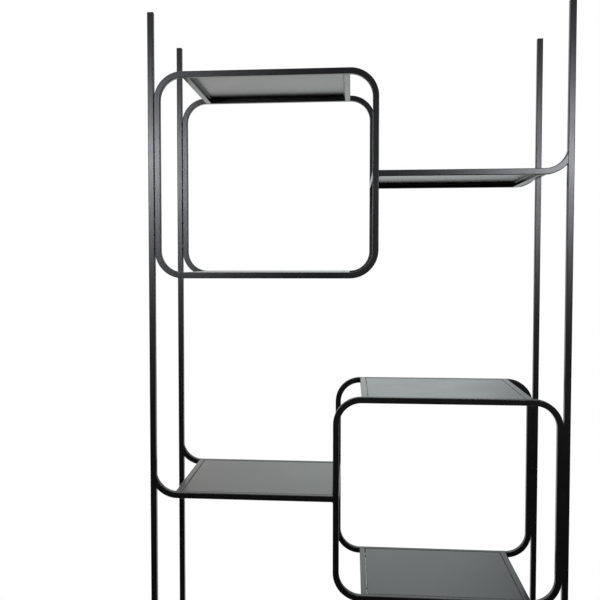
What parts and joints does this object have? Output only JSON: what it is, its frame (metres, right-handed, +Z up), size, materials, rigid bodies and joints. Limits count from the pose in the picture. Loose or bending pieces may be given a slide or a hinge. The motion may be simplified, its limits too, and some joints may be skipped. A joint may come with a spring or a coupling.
{
  "type": "zigzag bookshelf",
  "caption": "Tall open bookshelf of slim black square tube: rounded boxes and plain shelves swap sides from level to level between four posts on levelling feet.",
  "frame": {"origin": "centre of the footprint, on the floor", "axes": "+Z up, front faces -Y, +X to the right of someone who looks at the front"},
  "size_m": [0.8672, 0.3202, 1.95],
  "materials": {
    "frame_black": "satin powder coat",
    "tray_black": "satin powder coat",
    "weld_black": "powder coat over a weld bead",
    "black_plastic": "fine moulded grain",
    "zinc_steel": "zinc plated"
  },
  "bodies": {
    "root": {"front_left_post": "frame_black", "rear_left_post": "frame_black", "front_right_post": "frame_black", "rear_right_post": "frame_black", "post_caps": "black_plastic", "foot_sockets": "black_plastic", "upper_front_loop": "frame_black", "upper_rear_loop": "frame_black", "upper_roof_crossbars": "frame_black", "upper_floor_crossbars": "frame_black", "upper_roof_tray": "tray_black", "upper_floor_tray": "tray_black", "upper_shelf_front_rail": "frame_black", "upper_shelf_rear_rail": "frame_black", "upper_shelf_crossbars": "frame_black", "upper_shelf_tray": "tray_black", "middle_front_loop": "frame_black", "middle_rear_loop": "frame_black", "middle_roof_crossbars": "frame_black", "middle_floor_crossbars": "frame_black", "middle_roof_tray": "tray_black", "middle_floor_tray": "tray_black", "middle_shelf_front_rail": "frame_black", "middle_shelf_rear_rail": "frame_black", "middle_shelf_crossbars": "frame_black", "middle_shelf_tray": "tray_black", "lower_front_loop": "frame_black", "lower_rear_loop": "frame_black", "lower_roof_crossbars": "frame_black", "lower_floor_crossbars": "frame_black", "lower_roof_tray": "tray_black", "lower_floor_tray": "tray_black", "lower_shelf_front_rail": "frame_black", "lower_shelf_rear_rail": "frame_black", "lower_shelf_crossbars": "frame_black", "lower_shelf_tray": "tray_black", "loop_tack_welds": "weld_black", "tray_tack_welds": "weld_black"},
    "front_left_foot": {"front_left_foot_stud": "zinc_steel", "front_left_foot_pad": "black_plastic"},
    "front_right_foot": {"front_right_foot_stud": "zinc_steel", "front_right_foot_pad": "black_plastic"},
    "rear_left_foot": {"rear_left_foot_stud": "zinc_steel", "rear_left_foot_pad": "black_plastic"},
    "rear_right_foot": {"rear_right_foot_stud": "zinc_steel", "rear_right_foot_pad": "black_plastic"}
  },
  "joints": [
    {"name": "front_left_foot_turn", "type": "hinge", "parent": "root", "child": "front_left_foot", "pos_m": [-0.42465, -0.15115, 0], "axis": [0, 0, 1], "continuous": true},
    {"name": "front_right_foot_turn", "type": "hinge", "parent": "root", "child": "front_right_foot", "pos_m": [0.42465, -0.15115, 0], "axis": [0, 0, 1], "continuous": true},
    {"name": "rear_left_foot_turn", "type": "hinge", "parent": "root", "child": "rear_left_foot", "pos_m": [-0.42465, 0.15115, 0], "axis": [0, 0, 1], "continuous": true},
    {"name": "rear_right_foot_turn", "type": "hinge", "parent": "root", "child": "rear_right_foot", "pos_m": [0.42465, 0.15115, 0], "axis": [0, 0, 1], "continuous": true}
  ]
}
